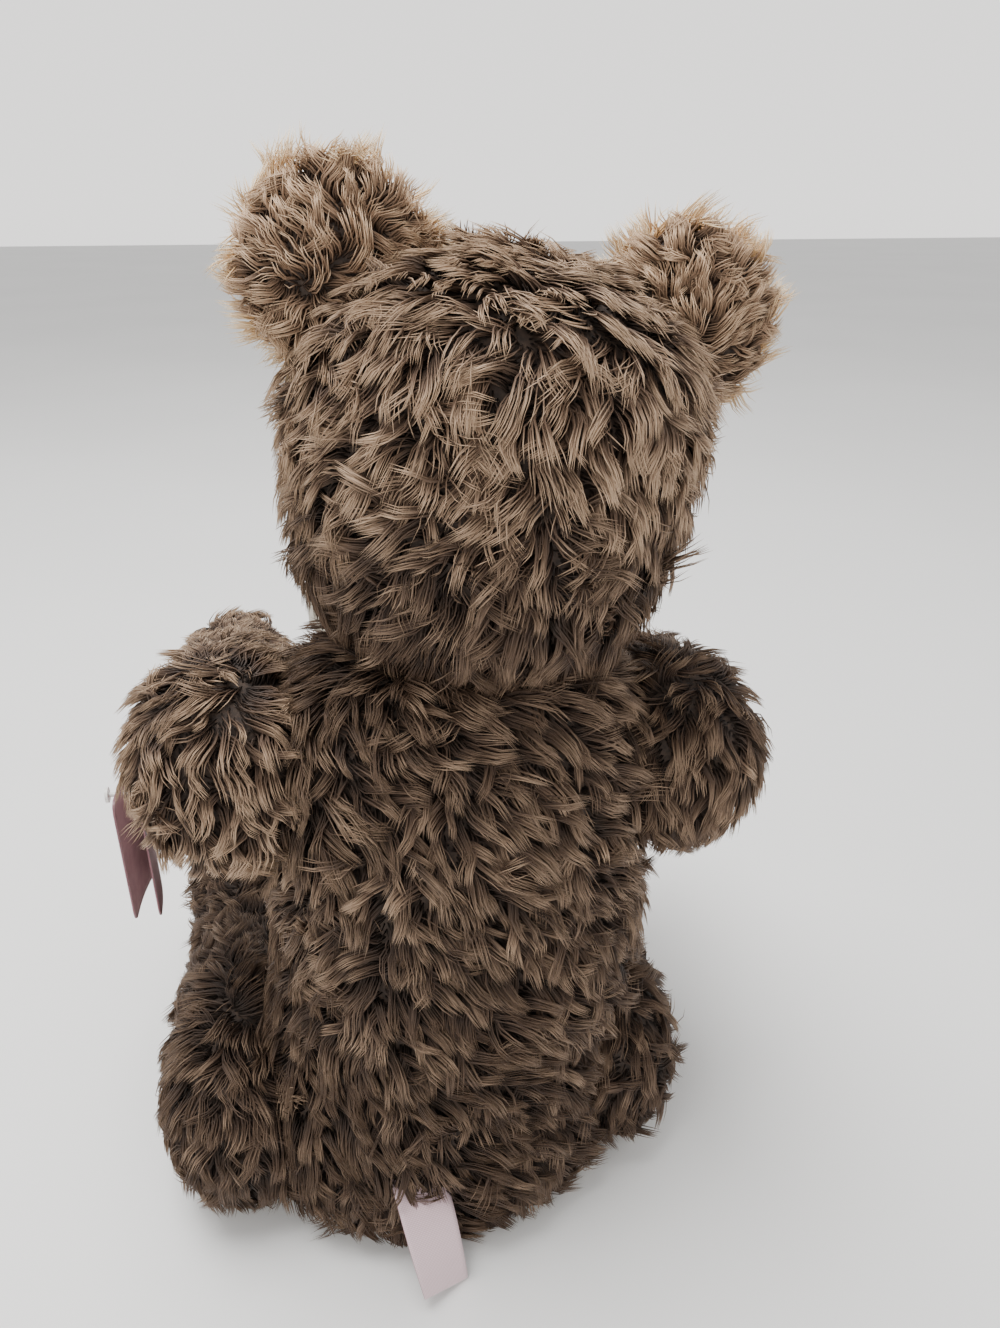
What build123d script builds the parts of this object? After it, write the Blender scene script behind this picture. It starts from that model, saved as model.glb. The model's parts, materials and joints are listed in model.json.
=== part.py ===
"""Jointed plush teddy bear, sitting, built from separate sewn covers, stuffing and disc joints.

Millimetres. +Z is up, the bear faces -Y and its left side is +X. The origin is the centre of the flat seat,
on the surface the bear sits on. The backing cloth is modelled; the pile stands outside it.
"""

import os
from math import cos, radians, sin, sqrt

from build123d import *

# Cloth and joint sizes
cover = 3.0  # backing cloth with the roots of the pile
packing_gap = 0.2  # between a cover and its stuffing
joint_gap = 0.5  # between two covers that turn against each other
bolt_r = 3.0
bolt_head_r = 6.0
bolt_head = 4.0
running_clearance = 0.05
cloth_hole_r = 3.4
disc = 3.0
bolt_tail = 2.0  # bolt end past its nut
washer_r = 6.5
washer = 1.0
nut_r = 6.2
nut = 5.0
stack_gap = 0.05  # between the pieces stacked on a bolt
nut_clearance = 0.1  # between the turning nut and its washer
pocket_clearance = 0.4  # between a disc and the stuffing packed round it
pocket_end = 4.0  # room past the end of a bolt
neck_disc_r = 13.0
arm_disc_r = 11.0
leg_disc_r = 13.0

# Posture
spine_lean = 5.2  # degrees, towards the bear's right
head_tilt = 9.0  # degrees, towards the bear's right
arm_droop = 14.0  # degrees below the horizontal
neck_height = 158.0
neck_forward = 4.0
shoulder_height = 133.0
shoulder_half_span = 41.0
shoulder_socket_r = 34.0
hip_height = 27.0
hip_half_span = 40.0
hip_socket_r = 35.5
socket_reach = 30.0  # past the widest part of the torso
joint_forward = 2.0  # shoulder and hip axes, in front of the middle of the back to front depth

spine = Plane(
    origin=(0, 0, 0),
    x_dir=(cos(radians(spine_lean)), 0, sin(radians(spine_lean))),
    z_dir=(-sin(radians(spine_lean)), 0, cos(radians(spine_lean))),
)
neck = Plane(
    origin=(-neck_height * sin(radians(spine_lean)), -neck_forward, neck_height),
    x_dir=(cos(radians(head_tilt)), 0, sin(radians(head_tilt))),
    z_dir=(-sin(radians(head_tilt)), 0, cos(radians(head_tilt))),
)


def spine_point(x, y, z):
    """A point given across, along and up the leaning body."""
    return spine.from_local_coords(Vector(x, y, z))


def shoulder(side):
    """Joint plane of a shoulder; its normal points out into the arm."""
    outward = spine.x_dir * side
    origin = spine_point(side * shoulder_half_span, -joint_forward, shoulder_height)
    return Plane(origin=origin, x_dir=(0, -side, 0), z_dir=outward)


def hip(side):
    """Joint plane of a hip; its normal points out into the leg."""
    origin = (side * hip_half_span, -joint_forward, hip_height)
    return Plane(origin=origin, x_dir=(0, -side, 0), z_dir=(side, 0, 0))


arm_direction = Vector(0, -1, 0) * cos(radians(arm_droop)) - spine.z_dir * sin(radians(arm_droop))
leg_direction = Vector(0, -1, 0)


def arm_base(side):
    """Plane across the arm at the shoulder; its normal runs down the arm."""
    origin = spine_point(side * shoulder_half_span, -joint_forward, shoulder_height)
    return Plane(origin=origin, x_dir=spine.x_dir, z_dir=arm_direction)


def leg_base(side):
    """Plane across the leg at the hip; its normal runs down the leg."""
    origin = (side * hip_half_span, -joint_forward, hip_height)
    return Plane(origin=origin, x_dir=(1, 0, 0), z_dir=leg_direction)


# Sections of each soft part: distance along it, half width, half depth, then the centre across and in depth
torso_sections = [
    (-8, 33, 25, -2, 1),
    (4, 45, 33, -1.5, 1),
    (15, 49.5, 36.5, -1, 1),
    (30, 50, 37, -1, 0),
    (60, 46, 36.5, -3, -1),
    (90, 45, 34.5, -3.5, -2),
    (112, 45, 33.5, -2, -2),
    (130, 45, 32, -0.5, -2),
    (143, 42.5, 30, 0, -3),
    (152, 36, 27.5, 0, -4),
    (164, 25, 22, 0, -4),
]
head_sections = [
    (0, 22, 20, 0, 0),
    (8, 31, 29, 0, -1),
    (24, 39.5, 36.5, 0, -2),
    (45, 42.5, 39.5, 0, -2),
    (62, 41, 38, 0, -1),
    (74, 34, 31.5, 0, 0),
    (81, 23, 21, 0, 0),
    (85, 11, 10, 0, 0),
]
muzzle_sections = [
    (24, 20.5, 17.5, 0, 27),
    (36, 19.5, 17, 0, 27),
    (47, 17.5, 15, 0, 26.5),
    (54, 14, 12, 0, 26.5),
    (58.5, 8.5, 7.5, 0, 26.5),
]
arm_sections = [
    (-20, 9, 10.5, 15, -2.5),
    (-13, 16, 18.5, 15, -3),
    (0, 20, 23.5, 15, -3),
    (18, 19.3, 22.5, 15, -3),
    (40, 17, 19.5, 15, -2),
    (62, 15, 16.5, 15, -1),
    (80, 14.4, 15.4, 14.5, 0.5),
    (93, 13, 14.4, 14, 1),
    (102, 8.5, 9.5, 14, 1),
]
leg_sections = [
    (-25, 8, 11, 12, 0),
    (-18, 14.5, 20, 12, 0),
    (-4, 18.5, 27.5, 12, 0),
    (12, 18.5, 27.5, 12, 0),
    (40, 17, 23, 12.5, -4.5),
    (68, 15.5, 20, 13, -7.5),
    (88, 16.2, 23, 13.5, -4.5),
    (100, 16.5, 27, 13.5, -0.5),
    (109, 15.5, 26, 13.5, 0),
]

# Ears, face and paws
ear_r = 18.5
ear_half = 4.8
ear_across = 37.0
ear_up = 79.0
eye_r = 5.5
eye_across = 17.0
eye_up = 47.0
eye_turn = 0.38  # outward part of the way an eye faces
eye_lift = 0.05
eye_sunk = 0.4  # eye plane to the flat back of the eye
eye_shank_r = 1.6
eye_shank = 9.0
eye_washer_r = 4.6
eye_washer = 1.2
eye_washer_drop = 2.2  # behind the cover's inside
nose_up = 29.5
nose_half_width = 7.0
nose_half_height = 4.6
nose_stand = 1.4
muzzle_reach = 50.0  # plane just behind the muzzle's tip
stitch = 1.2  # width of a mouth stitch
stitch_stand = 0.8
stitch_drop = 8.0  # middle of the upright stitch below the nose
stitch_length = 5.0
smile_drop = 12.2
smile_across = 3.0
smile_length = 7.4
smile_turn = 28.0
pad = 1.2
paw_pad_along = 82.0
paw_pad_half_width = 9.0
paw_pad_half_length = 13.0
foot_pad_half_width = 13.5
foot_pad_half_height = 23.0

# Ribbon, label and tag
ribbon_width = 5.0
ribbon_thickness = 0.8
ribbon_r = 30.2
ribbon_up = 0.1  # the ribbon's lower edge above the neck joint, clear of the torso
bow_reach = 34.0
bow_drop = 5.0
bow_stand = 2.8  # loops and tails clear of the chest
bow_depth = 3.5
loop_outline = ((0, 3), (bow_reach, 9), (bow_reach, -7), (0, -3))
tail_outline = ((1, 0), (6, 0), (20, -28), (10, -31))
knot_width = 10.0
knot_height = 9.0
knot_depth = 8.5
label_width = 14.5
label_ply = 0.5
label_gap = 3.4
label_root = Vector(6, 32, 27)
label_tip = Vector(4, 50, 1.2)
label_clearance = 0.3  # above the surface
tag_width = 26.0
tag_height = 40.0
tag_leaf = 0.5
tag_spread = 7.5
tag_hinge = Vector(75.0, -43.0, 103.0)
tag_above_hole = 4.0
tag_fold_shift = 3.5  # folded edge, out from the middle of the open edges
fastener_r = 0.7
fastener_bend = 5.0
fastener_button_r = 2.2
fastener_button = 0.8
fastener_bar = 7.0
tag_hole_r = 0.78


def lofted(base, sections, inset=0.0, side=1):
    """Solid through elliptical sections stacked along a plane's normal, shrunk all round by the inset."""
    last = len(sections) - 1
    with BuildPart() as body:
        for place, (along, half_width, half_depth, across, deep) in enumerate(sections):
            end_shift = {0: inset, last: -inset}.get(place, 0)
            with BuildSketch(base.offset(along + end_shift)):
                with Locations((side * across, deep)):
                    Ellipse(half_width - inset, half_depth - inset)
        loft()
    return body.part


def drilled(base, radius, low, high):
    """Plug on a plane's axis between two heights, for cutting holes and pockets."""
    with BuildPart(base.offset(low)) as plug:
        Cylinder(radius, high - low, align=(Align.CENTER, Align.CENTER, Align.MIN))
    return plug.part


def torso_solid(inset):
    """Torso, cut flat by the seat and the neck, with a round flat socket at each shoulder and hip."""
    sockets = {shoulder: shoulder_socket_r, hip: hip_socket_r}
    with BuildPart() as solid:
        add(lofted(spine, torso_sections, inset))
        split(bisect_by=Plane.XY.offset(inset), keep=Keep.TOP)
        split(bisect_by=neck.offset(-joint_gap / 2 - inset), keep=Keep.BOTTOM)
        for joint, socket_r in sockets.items():
            for side in (1, -1):
                socket = drilled(joint(side), socket_r + inset, -joint_gap / 2 - inset, socket_reach)
                add(socket, mode=Mode.SUBTRACT)
    return solid.part


def head_solid(inset):
    """Head without its muzzle."""
    with BuildPart() as solid:
        add(lofted(neck.offset(joint_gap / 2), head_sections, inset))
    return solid.part


def muzzle_solid(inset):
    """Muzzle, running forward from inside the head."""
    forward = Plane(origin=neck.origin, x_dir=neck.x_dir, z_dir=(0, -1, 0))
    with BuildPart() as solid:
        add(lofted(forward, muzzle_sections, inset))
    return solid.part


def arm_solid(side, inset):
    """Arm, cut flat by the shoulder."""
    with BuildPart() as solid:
        add(lofted(arm_base(side), arm_sections, inset, side))
        split(bisect_by=shoulder(side).offset(joint_gap / 2 + inset), keep=Keep.TOP)
    return solid.part


def leg_solid(side, inset):
    """Leg, cut flat by the hip and by the surface it lies on."""
    with BuildPart() as solid:
        add(lofted(leg_base(side), leg_sections, inset, side))
        split(bisect_by=hip(side).offset(joint_gap / 2 + inset), keep=Keep.TOP)
        split(bisect_by=Plane.XY.offset(inset), keep=Keep.TOP)
    return solid.part


def write(solid, name):
    """Label a finished piece and save it under its own name."""
    solid.label = name
    export_step(solid, f"parts/{name}.step")


def joint_stack(outward):
    """Heights along the joint axis of the disc, washer and end piece on one side of a joint."""
    disc_low = joint_gap / 2 + cover + stack_gap
    washer_low = disc_low + disc + stack_gap
    end_low = washer_low + washer + (stack_gap if outward else nut_clearance)
    return disc_low, washer_low, end_low


def flip(base):
    """The same joint plane, seen from the torso's side."""
    return Plane(origin=base.origin, x_dir=base.x_dir, z_dir=-base.z_dir)


def ring(base, low, height, outer_r, bore_r):
    """Flat ring on a plane's axis."""
    with BuildPart() as piece:
        with BuildSketch(base.offset(low)):
            Circle(outer_r)
            Circle(bore_r, mode=Mode.SUBTRACT)
        extrude(amount=height)
    return piece.part


def joint_hardware(base, disc_r, limb, joint):
    """Disc, bolt, washer and lock nut that turn with the limb."""
    disc_low, washer_low, head_low = joint_stack(True)
    _, _, nut_low = joint_stack(False)
    write(ring(base, disc_low, disc, disc_r, bolt_r + running_clearance), f"{limb}_disc")
    write(ring(base, washer_low, washer, washer_r, bolt_r + running_clearance), f"{joint}_washer")

    with BuildPart() as bolt:
        with BuildSketch(base.offset(head_low)):
            RegularPolygon(bolt_head_r, 6)
        extrude(amount=bolt_head)
        with BuildSketch(base.offset(-nut_low - nut - bolt_tail)):
            Circle(bolt_r)
        extrude(amount=head_low + nut_low + nut + bolt_tail)
    write(bolt.part, f"{joint}_bolt")

    with BuildPart() as lock_nut:
        with BuildSketch(flip(base).offset(nut_low)):
            RegularPolygon(nut_r, 6)
            Circle(bolt_r, mode=Mode.SUBTRACT)
        extrude(amount=nut)
    write(lock_nut.part, f"{joint}_nut")


def hardware_room(base, disc_r, inside):
    """Pocket in the stuffing round the disc, washer and bolt end on one side of a joint."""
    depth = joint_gap / 2 + cover + disc + washer + nut + pocket_end
    facing = flip(base) if inside else base
    return drilled(facing, disc_r + pocket_clearance, 0, depth)


joints = {
    "neck": (neck, neck_disc_r),
    "left_shoulder": (shoulder(1), arm_disc_r),
    "right_shoulder": (shoulder(-1), arm_disc_r),
    "left_hip": (hip(1), leg_disc_r),
    "right_hip": (hip(-1), leg_disc_r),
}

os.makedirs("parts", exist_ok=True)

# Torso

with BuildPart() as torso_cover:
    add(torso_solid(0))
    add(torso_solid(cover), mode=Mode.SUBTRACT)
    for joint_plane, _ in joints.values():
        add(drilled(flip(joint_plane), cloth_hole_r, 0, 2 * cover), mode=Mode.SUBTRACT)
write(torso_cover.part, "torso_cover")

with BuildPart() as torso_stuffing:
    add(torso_solid(cover + packing_gap))
    for joint_plane, disc_r in joints.values():
        add(hardware_room(joint_plane, disc_r, True), mode=Mode.SUBTRACT)
write(torso_stuffing.part, "torso_stuffing")

for name, (joint_plane, disc_r) in joints.items():
    disc_low, _, _ = joint_stack(False)
    plate = ring(flip(joint_plane), disc_low, disc, disc_r, bolt_r + running_clearance)
    write(plate, f"{name}_torso_disc")

with BuildPart() as torso_washers:
    for joint_plane, _ in joints.values():
        _, washer_low, _ = joint_stack(False)
        add(ring(flip(joint_plane), washer_low, washer, washer_r, bolt_r + running_clearance))
write(torso_washers.part, "torso_washers")

# Head

_, head_half_width, head_half_depth, _, head_back = head_sections[3]
eye_front = -neck_forward + head_back - head_half_depth * sqrt(1 - (eye_across / head_half_width) ** 2)


def eye_plane(side):
    """Plane on the face at one eye, facing out of the head."""
    seat = neck.origin + neck.x_dir * (side * eye_across) + neck.z_dir * eye_up
    outward = Vector(0, -1, 0) + neck.x_dir * (side * eye_turn) + neck.z_dir * eye_lift
    return Plane(origin=(seat.X, eye_front, seat.Z), z_dir=outward)


with BuildPart() as head_cover:
    add(head_solid(0))
    add(head_solid(cover), mode=Mode.SUBTRACT)
    add(muzzle_solid(cover), mode=Mode.SUBTRACT)
    add(drilled(neck, cloth_hole_r, 0, 2 * cover), mode=Mode.SUBTRACT)
    for side in (1, -1):
        add(drilled(eye_plane(side), eye_shank_r, -3 * cover, cover), mode=Mode.SUBTRACT)
write(head_cover.part, "head_cover")

with BuildPart() as muzzle_cover:
    add(muzzle_solid(0))
    add(muzzle_solid(cover), mode=Mode.SUBTRACT)
    add(head_solid(0), mode=Mode.SUBTRACT)
write(muzzle_cover.part, "muzzle_cover")

with BuildPart() as head_stuffing:
    add(head_solid(cover + packing_gap))
    add(muzzle_solid(cover + packing_gap))
    add(hardware_room(neck, neck_disc_r, False), mode=Mode.SUBTRACT)
    for side in (1, -1):
        room = drilled(eye_plane(side), eye_washer_r + pocket_clearance, -eye_shank - 1, 0)
        add(room, mode=Mode.SUBTRACT)
write(head_stuffing.part, "head_stuffing")

for side, side_name in ((1, "left"), (-1, "right")):
    ear_centre = neck.origin + neck.x_dir * (side * ear_across) + neck.z_dir * ear_up
    for facing, panel in ((1, "back"), (-1, "front")):
        ear_plane = Plane(origin=ear_centre, x_dir=neck.x_dir, z_dir=(0, facing, 0))
        with BuildPart() as ear:
            with BuildSketch(ear_plane):
                Circle(ear_r)
            extrude(amount=ear_half)
            rim = ear.faces().filter_by(GeomType.PLANE).sort_by(Axis.Y)[-1 if facing > 0 else 0]
            fillet(rim.edges(), radius=ear_half * 0.75)
            add(head_solid(0), mode=Mode.SUBTRACT)
        write(ear.part, f"{side_name}_ear_{panel}")

    with BuildPart() as eye:
        with Locations(eye_plane(side)):
            Sphere(eye_r)
        split(bisect_by=eye_plane(side).offset(eye_sunk), keep=Keep.TOP)
        add(head_solid(0), mode=Mode.SUBTRACT)
        add(drilled(eye_plane(side), eye_shank_r, -eye_shank, 3 * eye_sunk))
    write(eye.part, f"{side_name}_eye")

with BuildPart() as eye_washers:
    for side in (1, -1):
        add(ring(eye_plane(side), -cover - eye_washer_drop, eye_washer, eye_washer_r, eye_shank_r))
write(eye_washers.part, "eye_washers")

nose_place = neck.origin + neck.z_dir * nose_up - Vector(0, muzzle_reach, 0)
muzzle_front = Plane(origin=nose_place, x_dir=neck.x_dir, z_dir=(0, -1, 0))
with BuildPart() as nose:
    with BuildSketch(muzzle_front):
        Ellipse(nose_half_width, nose_half_height)
    extrude(amount=10)
    add(muzzle_solid(-nose_stand), mode=Mode.INTERSECT)
    add(muzzle_solid(0), mode=Mode.SUBTRACT)
write(nose.part, "nose")

with BuildPart() as mouth_stitch:
    with BuildSketch(muzzle_front):
        with Locations((0, -stitch_drop)):
            Rectangle(stitch, stitch_length)
        for side in (1, -1):
            with Locations(Location((side * smile_across, -smile_drop, 0), (0, 0, -side * smile_turn))):
                Rectangle(smile_length, stitch)
    extrude(amount=10)
    add(muzzle_solid(-stitch_stand), mode=Mode.INTERSECT)
    add(muzzle_solid(0), mode=Mode.SUBTRACT)
write(mouth_stitch.part, "mouth_stitch")

joint_hardware(neck, neck_disc_r, "head", "neck")

# Limbs

fastener_path = [
    tag_hinge + Vector(-25, 0, 17),
    tag_hinge + Vector(-12, 0, 0),
    tag_hinge + Vector(6.5, 0, 0),
]
with BuildPart() as tag_fastener:
    with BuildLine() as filament:
        FilletPolyline(*fastener_path, radius=fastener_bend)
    start = filament.line @ 0
    with BuildSketch(Plane(origin=start, z_dir=filament.line % 0)):
        Circle(fastener_r)
    sweep()
    with Locations(Plane(origin=fastener_path[2], z_dir=(1, 0, 0))):
        Cylinder(fastener_button_r, fastener_button, align=(Align.CENTER, Align.CENTER, Align.MIN))
    with Locations(Plane(origin=start, z_dir=(0, 1, 0))):
        Cylinder(fastener_r + 0.1, fastener_bar)
write(tag_fastener.part, "tag_fastener")

tag_bar_room = Plane(origin=fastener_path[0], z_dir=fastener_path[1] - fastener_path[0])

for side, side_name in ((1, "left"), (-1, "right")):
    arm, leg = f"{side_name}_arm", f"{side_name}_leg"
    paw_plane = arm_base(side).offset(paw_pad_along)
    paw_middle = paw_plane.origin + spine.x_dir * (side * arm_sections[-1][3])
    paw_face = Plane(origin=paw_middle, x_dir=spine.x_dir, z_dir=-paw_plane.y_dir)

    with BuildPart() as arm_cover:
        add(arm_solid(side, 0))
        add(arm_solid(side, cover), mode=Mode.SUBTRACT)
        add(drilled(shoulder(side), cloth_hole_r, 0, 2 * cover), mode=Mode.SUBTRACT)
        if side > 0:
            add(drilled(tag_bar_room, fastener_r + 0.2, 0, 16), mode=Mode.SUBTRACT)
    write(arm_cover.part, f"{arm}_cover")

    with BuildPart() as arm_stuffing:
        add(arm_solid(side, cover + packing_gap))
        add(hardware_room(shoulder(side), arm_disc_r, False), mode=Mode.SUBTRACT)
        if side > 0:
            add(drilled(tag_bar_room, 4.2, -1.5, 16), mode=Mode.SUBTRACT)
    write(arm_stuffing.part, f"{arm}_stuffing")

    with BuildPart() as paw_pad:
        with BuildSketch(paw_face):
            Ellipse(paw_pad_half_width, paw_pad_half_length)
        extrude(amount=2 * arm_sections[0][2])
        add(arm_solid(side, -pad), mode=Mode.INTERSECT)
        add(arm_solid(side, 0), mode=Mode.SUBTRACT)
    write(paw_pad.part, f"{side_name}_paw_pad")

    joint_hardware(shoulder(side), arm_disc_r, arm, f"{side_name}_shoulder")

    with BuildPart() as leg_cover:
        add(leg_solid(side, 0))
        add(leg_solid(side, cover), mode=Mode.SUBTRACT)
        add(drilled(hip(side), cloth_hole_r, 0, 2 * cover), mode=Mode.SUBTRACT)
    write(leg_cover.part, f"{leg}_cover")

    with BuildPart() as leg_stuffing:
        add(leg_solid(side, cover + packing_gap))
        add(hardware_room(hip(side), leg_disc_r, False), mode=Mode.SUBTRACT)
    write(leg_stuffing.part, f"{leg}_stuffing")

    with BuildPart() as foot_pad:
        with BuildSketch(leg_base(side).offset(leg_sections[-1][0])):
            with Locations((side * leg_sections[-1][3], 0)):
                Ellipse(foot_pad_half_width, foot_pad_half_height)
        extrude(amount=pad)
    write(foot_pad.part, f"{side_name}_foot_pad")

    joint_hardware(hip(side), leg_disc_r, leg, f"{side_name}_hip")

# Trim

with BuildPart() as neck_ribbon:
    with BuildSketch(neck.offset(ribbon_up)):
        Circle(ribbon_r)
        Circle(ribbon_r - ribbon_thickness, mode=Mode.SUBTRACT)
    extrude(amount=ribbon_width)
write(neck_ribbon.part, "neck_ribbon")

bow_plane = Plane(
    origin=neck.origin + Vector(0, -ribbon_r - bow_stand, 0) - neck.z_dir * bow_drop,
    x_dir=neck.x_dir,
    z_dir=(0, -1, 0),
)
with BuildPart() as ribbon_bow:
    with BuildSketch(bow_plane):
        for outline in (loop_outline, tail_outline):
            for side in (1, -1):
                with BuildLine():
                    Polyline(*[(side * across, up) for across, up in outline], close=True)
                make_face()
    extrude(amount=bow_depth)
    with BuildSketch(bow_plane.offset(0.1 - bow_stand)):
        RectangleRounded(knot_width, knot_height, 3)
    extrude(amount=knot_depth)
write(ribbon_bow.part, "ribbon_bow")

label_run = label_tip - label_root
label_length = label_run.length
label_plane = Plane(
    origin=label_root - Vector(label_width / 2, 0, 0), x_dir=label_run, z_dir=(1, 0, 0)
)
with BuildPart() as sewn_label:
    with BuildSketch(label_plane):
        for grow, mode in ((0, Mode.ADD), (-label_ply, Mode.SUBTRACT)):
            with BuildLine():
                Spline(
                    (0 - grow, 0),
                    (label_length * 0.55, label_gap / 2 + grow),
                    (label_length - 1 + grow, 0),
                    (label_length * 0.55, -label_gap / 2 - grow),
                    (0 - grow, 0),
                )
            make_face(mode=mode)
    extrude(amount=label_width)
    add(torso_solid(0), mode=Mode.SUBTRACT)
    split(bisect_by=Plane.XY.offset(label_clearance), keep=Keep.TOP)
write(sewn_label.part, "sewn_label")

folded_edge = tag_hinge + Vector(tag_fold_shift - tag_spread / 2, -tag_width / 2, 0)
leaf_ends = [tag_hinge + Vector(across, tag_width / 2, 0) for across in (-tag_spread / 2, tag_spread / 2)]
with BuildPart() as swing_tag:
    with BuildSketch(Plane.XY.offset(tag_hinge.Z - tag_height + tag_above_hole)):
        for end in leaf_ends:
            with BuildLine():
                Polyline(
                    (folded_edge.X - tag_leaf / 2, folded_edge.Y),
                    (folded_edge.X + tag_leaf / 2, folded_edge.Y),
                    (end.X + tag_leaf / 2, end.Y),
                    (end.X - tag_leaf / 2, end.Y),
                    close=True,
                )
            make_face()
    extrude(amount=tag_height)
    with Locations(Plane(origin=tag_hinge, z_dir=(1, 0, 0))):
        Cylinder(tag_hole_r, 3 * tag_spread, mode=Mode.SUBTRACT)
write(swing_tag.part, "swing_tag")
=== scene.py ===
"""Looks of the sitting jointed teddy bear: plush with real strands of pile, satin trim, card tag and hardware.

Metres, in the frame's own axes: +Z up, the bear faces -Y and its left side is +X.
"""

import json
from math import pi, radians, sin

import bpy
import numpy as np
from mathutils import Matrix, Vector
from mathutils.bvhtree import BVHTree
from mathutils.kdtree import KDTree


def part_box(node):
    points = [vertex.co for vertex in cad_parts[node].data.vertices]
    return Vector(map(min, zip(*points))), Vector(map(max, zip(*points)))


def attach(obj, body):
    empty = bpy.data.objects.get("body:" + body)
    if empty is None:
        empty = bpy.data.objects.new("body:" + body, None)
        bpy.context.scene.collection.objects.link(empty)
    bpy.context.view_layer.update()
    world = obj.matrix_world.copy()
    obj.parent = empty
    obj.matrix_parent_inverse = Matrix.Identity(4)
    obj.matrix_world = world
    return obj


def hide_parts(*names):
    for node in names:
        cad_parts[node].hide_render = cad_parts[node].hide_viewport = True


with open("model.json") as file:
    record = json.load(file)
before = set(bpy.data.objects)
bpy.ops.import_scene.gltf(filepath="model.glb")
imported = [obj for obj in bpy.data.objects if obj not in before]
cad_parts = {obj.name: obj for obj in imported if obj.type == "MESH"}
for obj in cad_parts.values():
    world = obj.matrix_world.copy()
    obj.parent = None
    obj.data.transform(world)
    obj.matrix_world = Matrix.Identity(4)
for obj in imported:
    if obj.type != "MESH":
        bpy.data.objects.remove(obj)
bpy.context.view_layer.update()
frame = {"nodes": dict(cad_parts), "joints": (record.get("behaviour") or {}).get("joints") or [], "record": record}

MM = 0.001
STRANDS_PER_PIECE = 9000
DENSITY = 1.3e6  # strands in a square metre of plush
STRAND = 0.21 * MM  # radius
TORSO_PILE = 12.5 * MM
HEAD_PILE = 12 * MM
LIMB_PILE = 11 * MM
EAR_BACK_PILE = 7.2 * MM
EAR_FRONT_PILE = 10.5 * MM
MUZZLE_PILE = 4 * MM
FLOOR_CLEARANCE = 0.4 * MM
PILE_UV = "OFBake"


# Places read from the frame

joint = {j["name"]: j for j in frame["joints"]}
neck_at = np.array(joint["neck_turn"]["pos_m"])
head_up = np.array(joint["neck_turn"]["axis"])
head_up = head_up / np.linalg.norm(head_up)
head_across = np.array([head_up[2], 0.0, -head_up[0]])
body_across = -np.array(joint["left_shoulder"]["axis"])
body_up = np.array([-body_across[2], 0.0, body_across[0]])
FORWARD = np.array([0.0, -1.0, 0.0])
DOWN = np.array([0.0, 0.0, -1.0])
SIDES = (("left", 1.0), ("right", -1.0))


def centre_of(node):
    low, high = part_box(node)
    return np.array((low + high) / 2)


def unit(v):
    """Vectors scaled to length one."""
    return v / np.maximum(np.linalg.norm(v, axis=-1, keepdims=True), 1e-12)


# Materials


def material(name, roughness=0.8, **sockets):
    """New node material; returns it with its tree and its shader."""
    mat = bpy.data.materials.new(name)
    mat.use_nodes = True
    shader = mat.node_tree.nodes["Principled BSDF"]
    shader.inputs["Roughness"].default_value = roughness
    for socket, value in sockets.items():
        shader.inputs[socket].default_value = value
    return mat, mat.node_tree, shader


def add_node(tree, kind, **values):
    """New node with its named inputs or properties set."""
    node = tree.nodes.new(kind)
    for key, value in values.items():
        if key in node.inputs:
            node.inputs[key].default_value = value
        else:
            setattr(node, key, value)
    return node


def colour(red, green, blue):
    """Linear colour from display values of 0 to 255."""
    shares = [c / 255 for c in (red, green, blue)]
    return tuple(c / 12.92 if c <= 10 / 255 else ((c + 0.055) / 1.055) ** 2.4 for c in shares) + (1,)


def ramp(tree, stops, source):
    """Colour ramp through (place, colour) stops, driven by a socket."""
    node = tree.nodes.new("ShaderNodeValToRGB")
    elements = node.color_ramp.elements
    while len(elements) < len(stops):
        elements.new(0.5)
    for element, (place, value) in zip(elements, stops):
        element.position = place
        element.color = value
    tree.links.new(source, node.inputs["Fac"])
    return node.outputs["Color"]


def mottled(name, dark, light, scale, spread=(0.3, 0.7), bump=0.2, roughness=0.8, **sockets):
    """Material whose colour, between two display colours, and bump come from one noise at the given scale."""
    mat, tree, shader = material(name, roughness, **sockets)
    place = add_node(tree, "ShaderNodeTexCoord").outputs["Object"]
    pattern = add_node(tree, "ShaderNodeTexNoise", Scale=scale, Detail=4.0)
    tree.links.new(place, pattern.inputs["Vector"])
    stops = [(spread[0], colour(*dark)), (spread[1], colour(*light))]
    tree.links.new(ramp(tree, stops, pattern.outputs["Fac"]), shader.inputs["Base Color"])
    relief = add_node(tree, "ShaderNodeBump", Strength=bump, Distance=0.3 * MM)
    tree.links.new(pattern.outputs["Fac"], relief.inputs["Height"])
    tree.links.new(relief.outputs["Normal"], shader.inputs["Normal"])
    return mat


def pile_material(name, *tones):
    """Pile: from root through middle and tip to pale along v, and from dark to pale strands across u."""
    root, middle, tip, pale = (colour(*tone) for tone in tones)
    mat, tree, shader = material(name, 0.62)
    shader.inputs["Specular IOR Level"].default_value = 0.35
    uv = add_node(tree, "ShaderNodeUVMap", uv_map=PILE_UV)
    parts = add_node(tree, "ShaderNodeSeparateXYZ")
    tree.links.new(uv.outputs["UV"], parts.inputs["Vector"])
    dark_strand = ramp(tree, [(0.0, root), (0.55, middle), (1.0, tip)], parts.outputs["Y"])
    pale_strand = ramp(tree, [(0.0, root), (0.28, middle), (0.58, tip), (1.0, pale)], parts.outputs["Y"])
    mix = add_node(tree, "ShaderNodeMix", data_type="RGBA")
    tree.links.new(parts.outputs["X"], mix.inputs["Factor"])
    tree.links.new(dark_strand, mix.inputs[6])
    tree.links.new(pale_strand, mix.inputs[7])
    tree.links.new(mix.outputs[2], shader.inputs["Base Color"])
    return mat


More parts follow.
